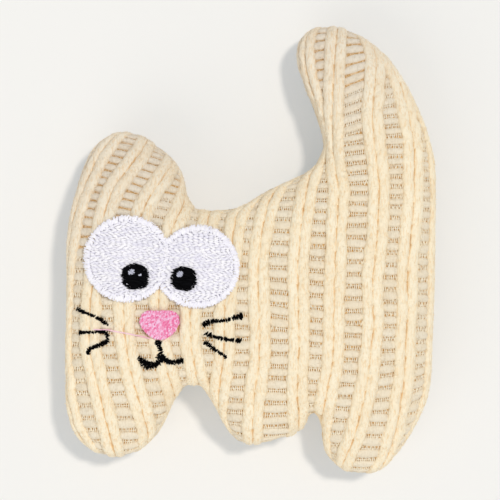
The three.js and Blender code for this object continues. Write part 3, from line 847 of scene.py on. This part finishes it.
def rungLobes():
    rungs = []
    binders = []
    length, width, depth = knit["binder"]
    widest, narrowest = knit["rungGap"]
    turns, heightShare, rises = knit["rungUneven"]
    places, binderTurns = knit["binderUneven"]
    for spot, across, half, down, step in ladders():
        along = turned(across, wander(turns))
        upright = upFrom(along)
        closed = closeness(spot)
        shown = step / abs(down.y) - widest - (narrowest - widest) * closed
        tall = shown / 2 / knit["rungShown"] * (1 + wander(heightShare))
        rungs.append(lobeMatrix(spot, knit["rungRise"] + wander(rises),
                                along * (half + knit["rungTuck"]) * knit["rungLength"], upright * tall,
                                knit["rungThickness"]))
        if closed > knit["bindersTo"]:
            continue
        gap = spot + down * step / 2 / abs(down.y)
        count = max(2, round(2 * half / knit["binderApart"]))
        for place in range(count):
            offset = (place + 0.5) / count * 2 - 1
            centre = gap + along * (half * offset + wander(places))
            slant = knit["binderTilt"] * (1 if place % 2 else -1) + wander(binderTurns)
            binderAlong = turned(Vector((0, 1)), slant)
            binders.append(lobeMatrix(centre, knit["binderRise"], binderAlong * length,
                                      upFrom(binderAlong) * width, depth))
        sway = upright * wander(knit["crossSway"])
        binders.append(lobeMatrix(gap + sway, knit["binderRise"], along * (half + knit["crossTuck"]),
                                  upright * knit["crossThread"], depth))
    return rungs, binders


def pileFibres(lobes, count, bareEnds):
    fibres = []
    for lobe in lobes:
        flatten = lobe.to_3x3().inverted_safe().transposed()
        for number in range(count):
            spot = Vector([chance.gauss(0, 1) for axis in range(3)]).normalized()
            spot.y = abs(spot.y)  # the second axis of a lobe is its thickness
            if spot.x > pile["bareFrom"] or abs(spot.z) > bareEnds:
                continue
            upright = (flatten @ spot).normalized()
            sideways = upright.orthogonal().normalized()
            sideways.rotate(Matrix.Rotation(chance.uniform(0, math.tau), 3, upright))
            stand = math.radians(chance.uniform(*pile["stand"]))
            along = upright * math.cos(stand) + sideways * math.sin(stand)
            half = chance.uniform(*pile["length"]) / 2
            first = along.orthogonal().normalized()
            centre = lobe @ spot + along * half * pile["rooted"]
            fibres.append(fromAxes(first * pile["radius"], along.cross(first) * pile["radius"], along * half,
                                   centre))
    return fibres


# the embroidered patches, flat as the camera sees them

face = {
    "leftEye": {"centre": (-32.5, -2.7), "half": (11.1, 11.3), "lean": -5},
    "rightEye": {"centre": (-14.1, -5.0), "half": (11.2, 10.6), "lean": -3},
    "nose": {"centre": (-24.0, -20.3), "half": (5.4, 4.0), "lean": 62},
}


def inEllipse(spot, patch, inset=0.0):
    across = (spot[0] - patch["centre"][0]) / (patch["half"][0] - inset)
    up = (spot[1] - patch["centre"][1]) / (patch["half"][1] - inset)
    return across * across + up * up


def underStitching(lobe, share):
    return any(inEllipse(lobe.col[3], patch) < share * share for patch in face.values())


# finishes of the yarn

yarn = {
    # colour in the depth and on the crest, the rises between them, the flecks, how strong and how drawn out;
    # the darker depth colour, and the crease colour along each rib's middle, are painted shade in the
    # recesses
    "columns": {"deep": (0.9, 0.72, 0.47), "crest": (0.985, 0.885, 0.68), "span": (-0.1, 0.85),
                "fleck": (0.84, 0.56, 0.26), "tones": 0.3, "flecks": 0.5, "drawn": (2.8, 0.5, 2.0),
                "crease": (0.62, 0.86)},
    "rungs": {"deep": (0.86, 0.71, 0.49), "crest": (0.88, 0.79, 0.63), "span": (-0.2, 0.45),
              "fleck": (0.74, 0.63, 0.47), "tones": 0.3, "flecks": 0.55, "drawn": (3.4, 0.5, 2.0)},
    "binders": {"deep": (0.92, 0.77, 0.52), "crest": (1.0, 0.93, 0.77), "span": (0.1, 0.5),
                "fleck": (0.78, 0.52, 0.26), "tones": 0.3, "flecks": 0.5, "drawn": (2.0, 0.8, 1.5)},
    "pile": {"deep": (0.92, 0.75, 0.5), "crest": (1.0, 0.935, 0.77), "span": (0.4, 1.4),
             "fleck": (0.86, 0.6, 0.31), "tones": 0.5, "flecks": 0.5, "drawn": (2.8, 0.5, 2.0)},
    "rungPile": {"deep": (0.84, 0.71, 0.51), "crest": (0.9, 0.825, 0.68), "span": (0, 0.8),
                 "fleck": (0.76, 0.66, 0.5), "tones": 0.4, "flecks": 0.5, "drawn": (3.4, 0.5, 2.0)},
}
# how fine each grain is and its detail, then the part of it that shows and how strong the clouds are
grains = {"fleck": (900, 4), "cloud": (140, 2), "fuzz": (1300, 3), "weave": (1900, 2), "thread": (2200, 2)}
mottle = {"fleck": (0.5, 0.63), "cloud": (0.4, 0.7), "weave": (0.4, 0.65), "speck": (0.35, 0.65),
          "clouds": 0.12}
# roughness, sheen and shine, then the strength and height of the bumps
gloss = {"yarn": (0.95, 0.15, 0.1), "ground": (0.95, 0.0, 0.1)}
bumps = {"yarn": (0.9, 0.4), "ground": (0.5, 0.3), "thread": (0.25, 0.1), "inner": (0.5, 0.6)}
paintedShade = {
    # painted shade: the yarn is drawn darker and greyer towards the ear and the tip of the tail, as if lit
    # from below
    "side": (-0.5, 0.85, 0),
    "span": (0, 38),
    "tint": (0.905, 0.91, 0.965),
}
ground = {
    # the deep brown dots stand for the shadowed holes of the mesh, painted shade; the light tone is the
    # mesh's own threads
    "deep": (0.6, 0.34, 0.11),
    "light": (0.85, 0.6, 0.31),
    "tint": (0.84, 0.9, 1.18),  # painted shade, darker and greyer towards the ear and the tip of the tail
    "wall": (0.9, 0.77, 0.55),  # the yarn closes over the mesh where the sides turn down to the seam
    "wallSlope": (50, 75),
    "wallSweeps": 3,
}


def knitFinish(name, looks):
    finish = Finish(name, *gloss["yarn"])
    fleck = finish.grain(*grains["fleck"], looks["drawn"])
    # painted shade: each lobe is darker and warmer low down, where shade falls between the lobes
    rise = finish.mapped(finish.attribute("rise"), *looks["span"])
    colour = finish.mixed(rise, looks["deep"], looks["crest"])
    # painted shade along the crease where the two columns of a rib meet
    if "crease" in looks:
        crease = finish.mapped(finish.attribute("inner"), *looks["crease"])
        colour = finish.mixed(crease, colour, looks["fleck"])
    flecks = finish.mapped(fleck, *mottle["fleck"], 0, looks["flecks"])
    flecked = finish.mixed(flecks, colour, looks["fleck"])
    cloud = finish.mapped(finish.grain(*grains["cloud"]), *mottle["cloud"], 0, mottle["clouds"])
    toned = finish.mixed(looks["tones"] * finish.attribute("tone") + cloud, flecked, looks["deep"])
    # painted shade, darker and greyer towards the ear and the tip of the tail
    share = finish.towards(paintedShade["side"], paintedShade["span"])
    finish.put("Base Color", finish.mixed(share, toned, paintedShade["tint"], "MULTIPLY"))
    finish.bump(finish.grain(*grains["fuzz"]) + 0.5 * fleck, *bumps["yarn"])
    return finish.material


def groundFinish():
    finish = Finish("ground mesh", *gloss["ground"])
    weave = finish.grain(*grains["weave"])
    # painted shade of the holes in the deep tone of the weave
    mesh = finish.mixed(finish.mapped(weave, *mottle["weave"]), ground["deep"], ground["light"])
    # painted shade on the mesh, darker and greyer towards the ear and the tip of the tail
    share = finish.towards(paintedShade["side"], paintedShade["span"])
    tinted = finish.mixed(share, mesh, ground["tint"], "MULTIPLY")
    finish.put("Base Color", finish.mixed(finish.attribute("wall"), tinted, ground["wall"]))
    finish.bump(weave, *bumps["ground"])
    return finish.material


def markWalls(mesh):
    low, high = ground["wallSlope"]
    slope = slopeOf(easedNormals(mesh, ground["wallSweeps"]))
    wall = mesh.attributes.new("wall", "FLOAT", "POINT")
    wall.data.foreach_set("value", np.clip((slope - low) / (high - low), 0, 1))


knitFinishes = {kind: knitFinish("chenille " + kind, looks) for kind, looks in yarn.items()}
markWalls(skin.data)
dress(skin, groundFinish(), "chenille_knit", *panelNodes)


# both panels of knitting

def layYarn(side, name, finish, lobes, clear, *form):
    drape = front if side == "front" else back
    kept = notTorn(drape, lobes)
    if drape is front:
        kept = [lobe for lobe in kept if not underStitching(lobe, clear)]
    piece = layLobes(name, drape, kept, *form)
    dress(piece, knitFinishes[finish], "chenille_knit", side + "_panel")
    print("stage:", name, len(kept), "lobes", len(piece.data.polygons), "faces")
    return kept


knitted = {"columns": legLobes()}
knitted["rungs"], knitted["binders"] = rungLobes()
for side in ("front", "back"):
    laid = {}
    for kind, lobes in knitted.items():
        laid[kind] = layYarn(side, side + "_knit_" + kind, kind, lobes, knit["clear"], *knit["lobes"][kind])
    for kind, finish in (("columns", "pile"), ("rungs", "rungPile")):
        fibres = pileFibres(laid[kind], *pile[kind])
        layYarn(side, side + "_" + kind + "_pile", finish, fibres, pile["clear"], pile["sides"], 0, 0, fibre)


# embroidery: every stitch is a small lobe of thread on the knitting

stitching = {
    "thread": (0.25, 0.2),  # half width and half thickness
    "overlap": 0.1,
    "form": (6, 5),  # sides and rings of a stitch
    "pace": 0.12,  # fine steps along a row, to find its ends
    "shortest": 0.5,
    "search": 1.3,  # rows reach this much further out than the patch
    "wander": 0.16,
    "uneven": 0.12,
    # filled patches: rows, length, width and ragged ends of the stitches, and how far the middle stands up
    "eye": {"row": 0.42, "length": 1.4, "width": 0.27, "ragged": 0, "crown": 0.25},
    "pupil": {"row": 0.36, "length": 3.7, "width": 0.25, "ragged": 0.5, "crown": 0.15},
    "glint": {"row": 0.36, "length": 3, "width": 0.25, "ragged": 0, "crown": 0},
    "nose": {"row": 0.27, "length": 0.6, "width": 0.25, "ragged": 0, "crown": 0.25},
    "eyeRise": 1.7,
    "eyesOverlap": 0.15,
    "padRise": 1.05,
    "padDepth": 0.75,
    "padInset": 0.3,
    "padForm": (40, 12),
    "smallPadForm": (32, 10),
    # the eyes' border: its stitches, then how uneven they are, and how far from the other eye they begin
    "border": {"length": 1.3, "apart": 0.1, "gap": 0.1, "rise": 0.06, "thread": 0.7,
               "turn": 0.2, "slant": (-0.06, 0.1), "out": (-0.35, 0.45), "in": (-0.25, 0.35), "uneven": 0.03,
               "clear": 0.98},
    "pupilRise": 0.36,
    "pupilSquare": 2.4,  # 2 would be an ellipse
    "pupilPad": (0.05, 0.35),  # rise and half thickness
    "noseReach": 6.5,
    "noseRise": 1.75,
    "nosePad": (0.65, 1.1),  # half thickness, and how much smaller than the nose
    # satin stitch: spacing, height above the knit, width, and the share of stitches that the plush hides
    "whisker": {"apart": 0.26, "rise": 0.1, "wide": 0.95, "missed": 0.15},
    "mouth": {"apart": 0.22, "rise": 0.15, "wide": 1.08, "missed": 0.08},
    "satinLeast": 0.6,
    "satinSlant": (-30, 20),
    "satinReach": (0.6, 1.4),
    "satinUneven": (-0.15, 0.12),
    "probe": 6.0,  # the knit's top is looked for from this far above the ground
}
eyeMeeting = (Vector((-22.0, 2.8)), Vector((-24.2, -9.5)))
pupils = {
    "left": {"centre": (-30.4, -7.4), "half": (3.35, 3.4), "lean": -14},
    "right": {"centre": (-17.6, -8.1), "half": (3.3, 3.1), "lean": -10},
}
glints = {
    "left": [{"centre": (-31.4, -6.2), "half": (0.8, 0.75), "lean": -50},
             {"centre": (-29.0, -7.0), "half": (0.5, 0.22), "lean": -50}],
    "right": [{"centre": (-18.6, -6.9), "half": (0.85, 0.85), "lean": -50}],
}
# heights from the nose's centre, from its tip up, and half its width there
noseHalves = [(-3.7, 1.0), (-3.2, 2.1), (-2.6, 3.1), (-1.3, 4.4), (-0.4, 5.0), (0.9, 5.4), (2.4, 5.1),
              (3.3, 4.4), (3.9, 3.2)]
# points and widths of the black strokes
strokes = {
    "left_upper_whisker": [[(-46.2, -15.8, 1.1), (-43.8, -16.8, 0.85), (-41.4, -17.9, 0.8),
                            (-39.8, -18.7, 1.3), (-38.8, -19.5, 1.3), (-37.7, -20.3, 0.8)]],
    "left_middle_whisker": [[(-45.7, -22.4, 1.2), (-43.8, -22.2, 0.7), (-41.7, -22.2, 0.75),
                             (-40.1, -21.9, 1.1), (-38.5, -22.2, 1.1), (-37.7, -23.3, 1.2)]],
    "left_lower_whisker": [[(-37.7, -23.5, 1.2), (-38, -24.6, 1.3), (-39.6, -25.4, 1.1),
                            (-41.4, -26.2, 0.95), (-43, -27, 1.2), (-42.8, -28.1, 0.7)]],
    "right_upper_whisker": [[(-12.6, -20.3, 1.35), (-11.2, -19.5, 1.5), (-9.6, -19.2, 0.95),
                             (-7.8, -19.2, 0.8), (-5.9, -19, 0.95), (-4.3, -18.4, 1.35),
                             (-2.9, -18.2, 1.9), (-1.9, -17.9, 1.6)]],
    "right_middle_whisker": [[(-11.8, -22.4, 1.35), (-10.7, -23, 1.5), (-9.1, -23.3, 0.8),
                              (-7.2, -23.8, 1.2), (-5.3, -24.1, 0.8), (-3.7, -24.1, 1.35),
                              (-2.4, -24.6, 1.6)]],
    "right_lower_whisker": [[(-12.6, -24.9, 0.95), (-11.2, -25.1, 1.35), (-10.2, -26.2, 1.1),
                             (-8.3, -27.3, 0.8), (-6.7, -28.3, 0.85), (-6.1, -29.1, 0.75)]],
    "philtrum": [[(-24.6, -24.3, 1.5), (-24.1, -25.9, 1.6), (-24.1, -27.5, 1.8), (-23.5, -29.1, 2.4)]],
    "mouth": [[(-23.5, -29.1, 1.9), (-24.9, -30.5, 1.35), (-26.5, -31, 1.9), (-28.1, -30.7, 2.0),
               (-29.1, -29.7, 1.35), (-29.9, -28.9, 1.1)],
              [(-23.3, -29.1, 1.6), (-21.9, -29.7, 1.1), (-20.3, -30.2, 1.1), (-19, -29.9, 1.35),
               (-17.6, -29.4, 1.2)]],
}
jumpThread = {
    "path": [(-41.4, -21.4), (-37.4, -21.6), (-32.1, -22.6), (-26.7, -23.8)],
    "width": 0.21,
    "flat": 0.8,
    "ply": 0.5,
    "plyApart": 0.6,
    "twist": 24,
    "rise": 0.05,
    "evened": 3,  # it lies as high as the highest of this many places on either side
    "form": (6, 4),
}
threads = {
    # colour in the depth and on the crest, the rises between them, the roughness, sheen and shine,
    # and how much single stitches differ; the darker depth colour, lavender on the white, is painted shade
    # low in the stitches
    "white": {"slot": "white_thread", "deep": (0.75, 0.73, 0.86), "crest": (1.0, 0.98, 1.0),
              "span": (1.35, 1.9), "gloss": (0.5, 0.2, 0.3), "speckle": 0.6},
    "black": {"slot": "black_thread", "deep": (0.001, 0.001, 0.0012), "crest": (0.005, 0.005, 0.006),
              "span": (0.5, 3.0), "gloss": (0.7, 0.0, 0.02), "speckle": 0.5},
    "glint": {"slot": "white_thread", "deep": (0.2, 0.21, 0.27), "crest": (0.62, 0.63, 0.74),
              "span": (1.9, 2.6), "gloss": (0.5, 0.1, 0.3), "speckle": 0.5},
    "pink": {"slot": "pink_thread", "deep": (0.84, 0.06, 0.27), "crest": (0.94, 0.63, 0.82),
             "span": (1.5, 2.0), "gloss": (0.5, 0.15, 0.3), "speckle": 0.85},
    "loose pink": {"slot": "pink_thread", "deep": (0.9, 0.52, 0.62), "crest": (1.0, 0.76, 0.82),
                   "span": (0.5, 2.0), "gloss": (0.5, 0.2, 0.3), "speckle": 0.5},
}
fibreShade = (0.8, 0.4)  # least and added share of the crest's colour along the fibres
fibreRough = 0.15


def threadFinish(name, looks):
    finish = Finish(name, *looks["gloss"])
    # painted shade: the low parts of the stitches take the darker deep colour
    rise = finish.mapped(finish.attribute("rise"), *looks["span"])
    fibres = finish.grain(*grains["thread"])
    dimmed = looks["speckle"] * (1 - finish.attribute("tone"))
    least, more = fibreShade
    share = rise * (1 - dimmed) * (least + more * fibres)
    finish.put("Base Color", finish.mixed(share, looks["deep"], looks["crest"]))
    finish.put("Roughness", looks["gloss"][0] + fibreRough * fibres)
    finish.bump(fibres, *bumps["thread"])
    return finish.material


threadFinishes = {name: threadFinish(name + " thread", looks) for name, looks in threads.items()}


def stitchLobe(start, end, rise, width, depth):
    along = end - start
    half = along.length / 2 + stitching["overlap"]
    along = along.normalized()
    return lobeMatrix((start + end) / 2, rise, along * half, upFrom(along) * width, depth)


def fillStitches(inside, patch, reach, looks, rise):
    along = turned(Vector((1, 0)), patch["lean"])
    up = upFrom(along)
    pace = stitching["pace"]
    row, length, ragged = looks["row"], looks["length"], looks["ragged"]
    lobes = []
    for count in range(int(2 * reach / row) + 1):
        origin = Vector(patch["centre"]) + up * (count * row - reach)
        shift = chance.random() * length
        start = None
        for step in range(int(2 * reach / pace) + 1):
            spot = origin + along * (step * pace - reach)
            if not inside(spot):
                start = None
                continue
            place = step * pace + shift
            turn = int(place / length) != int((place - pace) / length)
            ending = not inside(spot + along * pace)
            if start is None:
                start = spot - along * chance.uniform(0, ragged)
            elif (turn and (spot - start).length > stitching["shortest"]) or ending:
                if ending:
                    spot = spot + along * chance.uniform(0, ragged)
                aside = up * wander(stitching["wander"])
                raised = rise + looks["crown"] * max(0, 1 - inEllipse((start + spot) / 2, patch))
                raised += wander(stitching["uneven"])
                lobes.append(stitchLobe(start - aside, spot + aside, raised, looks["width"],
                                        stitching["thread"][1]))
                start = spot
    return lobes


def pastMeeting(spot):
    # how far to the left of the line where the eyes meet
    top, bottom = eyeMeeting
    run = (bottom - top).normalized()
    return (spot[0] - top.x) * run.y - (spot[1] - top.y) * run.x


def eyeStitches(eye, other, hand):
    border = stitching["border"]
    inset = border["length"] + border["gap"]

    def inside(spot):
        if inEllipse(spot, other) > 1:
            return inEllipse(spot, eye, inset) < 1
        return pastMeeting(spot) * hand > -stitching["eyesOverlap"] and inEllipse(spot, eye) < 1

    def onRim(out, inset):
        half = Vector(eye["half"]) - Vector((inset, inset))
        return Vector(eye["centre"]) + half * out

    lobes = fillStitches(inside, eye, max(eye["half"]), stitching["eye"], stitching["eyeRise"])
    width, depth = stitching["thread"]
    count = int(math.tau * sum(eye["half"]) / 2 / border["apart"])
    for place in range(count):
        angle = math.tau * (place + wander(border["turn"])) / count
        out = Vector((math.cos(angle), math.sin(angle)))
        slant = angle + chance.uniform(*border["slant"])
        slanted = Vector((math.cos(slant), math.sin(slant)))
        outer = onRim(out, 0) + out * chance.uniform(*border["out"])
        inner = onRim(slanted, border["length"]) - out * chance.uniform(*border["in"])
        if inEllipse(outer, other) > border["clear"]:
            rise = stitching["eyeRise"] + border["rise"] + wander(border["uneven"])
            lobes.append(stitchLobe(inner, outer, rise, width * border["thread"], depth))
    return lobes


def padLobe(patch, rise, depth, inset=stitching["padInset"]):
    across = Vector((patch["half"][0] - inset, 0))
    up = Vector((0, patch["half"][1] - inset))
    return lobeMatrix(patch["centre"], rise, up, across, depth)


def pupilStitches(pupil, rise):
    def inside(spot):
        across = abs(spot[0] - pupil["centre"][0]) / pupil["half"][0]
        up = abs(spot[1] - pupil["centre"][1]) / pupil["half"][1]
        return across ** stitching["pupilSquare"] + up ** stitching["pupilSquare"] < 1

    return fillStitches(inside, pupil, stitching["search"] * max(pupil["half"]), stitching["pupil"], rise)


def glintStitches(patches, rise):
    lobes = []
    for patch in patches:
        reach = stitching["search"] * max(patch["half"])
        lobes += fillStitches(lambda spot: inEllipse(spot, patch) < 1, patch, reach, stitching["glint"], rise)
    return lobes


def inNose(spot):
    x, y = face["nose"]["centre"]
    levels, halves = zip(*noseHalves)
    height = spot[1] - y
    if not levels[0] <= height <= levels[-1]:
        return False
    return abs(spot[0] - x) < float(np.interp(height, levels, halves))


def knitTop():
    corners = []
    polygons = []
    for name in ("front_knit_columns", "front_knit_rungs", "knit_ground"):
        mesh = bpy.data.objects[name].data
        first = len(corners)
        corners.extend(pointsOf(mesh) / mm)
        polygons.extend([[first + i for i in polygon.vertices] for polygon in mesh.polygons])
    return BVHTree.FromPolygons(corners, polygons)


def riseOnKnit(tree, spot):
    probe = stitching["probe"]
    on, above = front.lay(np.array([(spot[0], spot[1], 0), (spot[0], spot[1], probe)]))
    hit, normal, polygon, gap = tree.ray_cast(Vector(above), Vector(on - above).normalized())
    return stitching["satinLeast"] if hit is None else max(stitching["satinLeast"], probe - gap)


def alongPath(points, step):
    # evenly spaced places on a path, with the direction there and the values that go with each point
    for start, end in zip(points, points[1:]):
        a, b = np.array(start, float), np.array(end, float)
        run = Vector(b[:2] - a[:2])
        count = max(1, round(run.length / step))
        for place in range(count):
            yield a + (b - a) * (place + 0.5) / count, run.normalized()


def highest(rises, index, around):
    return max(rises[max(0, index - around):index + around + 1])


def satinStitches(tree, paths, looks):
    lobes = []
    for path in paths:
        places = list(alongPath(path, looks["apart"]))
        rises = [riseOnKnit(tree, place) for place, run in places]
        for index, (place, run) in enumerate(places):
            rise = (highest(rises, index, 1) + rises[index]) / 2
            across = turned(upFrom(run), chance.uniform(*stitching["satinSlant"]))
            reach = across * place[2] / 2 * looks["wide"]
            if chance.random() < looks["missed"]:
                continue
            middle = Vector(place[:2])
            start = middle - reach * chance.uniform(*stitching["satinReach"])
            end = middle + reach * chance.uniform(*stitching["satinReach"])
            rise += looks["rise"] + chance.uniform(*stitching["satinUneven"])
            lobes.append(stitchLobe(start, end, rise, *stitching["thread"]))
    return lobes


def jumpStitches(tree):
    width, ply = jumpThread["width"], jumpThread["ply"]
    places = list(alongPath(jumpThread["path"], ply * jumpThread["plyApart"]))
    rises = [riseOnKnit(tree, place) for place, run in places]
    lobes = []
    for index, (place, run) in enumerate(places):
        rise = highest(rises, index, jumpThread["evened"]) + jumpThread["rise"]
        half = turned(run, jumpThread["twist"]) * ply / 2
        middle = Vector(place[:2])
        lobes.append(stitchLobe(middle - half, middle + half, rise, width * jumpThread["flat"], width))
    return lobes


def sew(name, lobes, thread, node, form=stitching["form"]):
    piece = layLobes(name, front, lobes, *form)
    dress(piece, threadFinishes[thread], threads[thread]["slot"], node)


def sewFace():
    onEye = stitching["eyeRise"] + stitching["eye"]["crown"]
    for word, opposite, hand in (("left", "right", 1), ("right", "left", -1)):
        eye, pupil = face[word + "Eye"], pupils[word]
        white = word + "_eye_white"
        black = word + "_pupil"
        sew(word + "_eye_stitches", eyeStitches(eye, face[opposite + "Eye"], hand), "white", white)
        pad = padLobe(eye, stitching["padRise"], stitching["padDepth"])
        sew(word + "_eye_pad", [pad], "white", white, stitching["padForm"])
        sew(black + "_stitches", pupilStitches(pupil, onEye + stitching["pupilRise"]), "black", black)
        rise, depth = stitching["pupilPad"]
        pad = padLobe(pupil, onEye + rise, depth)
        sew(black + "_pad", [pad], "black", black, stitching["smallPadForm"])
        glint = glintStitches(glints[word], onEye + 2 * stitching["pupilRise"])
        sew(word + "_glint_stitches", glint, "glint", word + "_glint")
    nose = face["nose"]
    filling = fillStitches(inNose, nose, stitching["noseReach"], stitching["nose"], stitching["noseRise"])
    sew("nose_stitches", filling, "pink", "nose")
    pad = padLobe(nose, stitching["padRise"], *stitching["nosePad"])
    sew("nose_pad", [pad], "pink", "nose", stitching["smallPadForm"])
    tree = knitTop()
    for node, paths in strokes.items():
        looks = stitching["whisker" if node.endswith("whisker") else "mouth"]
        sew(node + "_stitches", satinStitches(tree, paths, looks), "black", node)
    sew("nose_jump_stitches", jumpStitches(tree), "loose pink", "nose_jump_thread", jumpThread["form"])


sewFace()
print("stage: embroidered face")


# the pieces inside keep their solids and get their own finishes

innerLooks = {
    # two tones, the size of the grain between them and the roughness
    "fibre_fill": ((0.8, 0.79, 0.76), (0.94, 0.93, 0.91), 700, 0.95),
    "nonwoven": ((0.74, 0.74, 0.72), (0.88, 0.88, 0.86), 1500, 0.85),
    "dried_leaf": ((0.1, 0.13, 0.03), (0.3, 0.34, 0.13), 900, 0.9),
    "sewing_thread": ((0.7, 0.6, 0.45), (0.92, 0.85, 0.72), 2500, 0.6),
}


def innerFinish(name, first, second, scale, rough):
    finish = Finish(name, rough)
    speck = finish.grain(scale, 4)
    finish.put("Base Color", finish.mixed(finish.mapped(speck, *mottle["speck"]), first, second))
    finish.bump(speck, *bumps["inner"])
    return finish.material


innerFinishes = {slot: innerFinish("inner " + slot, *looks) for slot, looks in innerLooks.items()}
for name, slot in slotOf.items():
    node = frame["nodes"][name]
    if slot in innerFinishes and not node.hide_render:
        node.data.materials.clear()
        node.data.materials.append(innerFinishes[slot])
print("stage: inner pieces")


# floor

def floorFinish():
    finish = Finish("pale floor", 0.9)
    finish.put("Base Color", finish.mixed(finish.grain(*shot["floorGrain"]), *shot["floorTones"]))
    finish.put("Emission Color", (*shot["floorGlow"], 1))
    finish.put("Emission Strength", 1)
    return finish.material


def makeFloor():
    mesh = bpy.data.meshes.new("floor")
    with edited(mesh) as shape:
        bmesh.ops.create_grid(shape, x_segments=1, y_segments=1, size=shot["floorSize"] / 2 * mm)
    mesh.materials.append(floorFinish())
    linked("floor", mesh)


makeFloor()

print("stage: done")
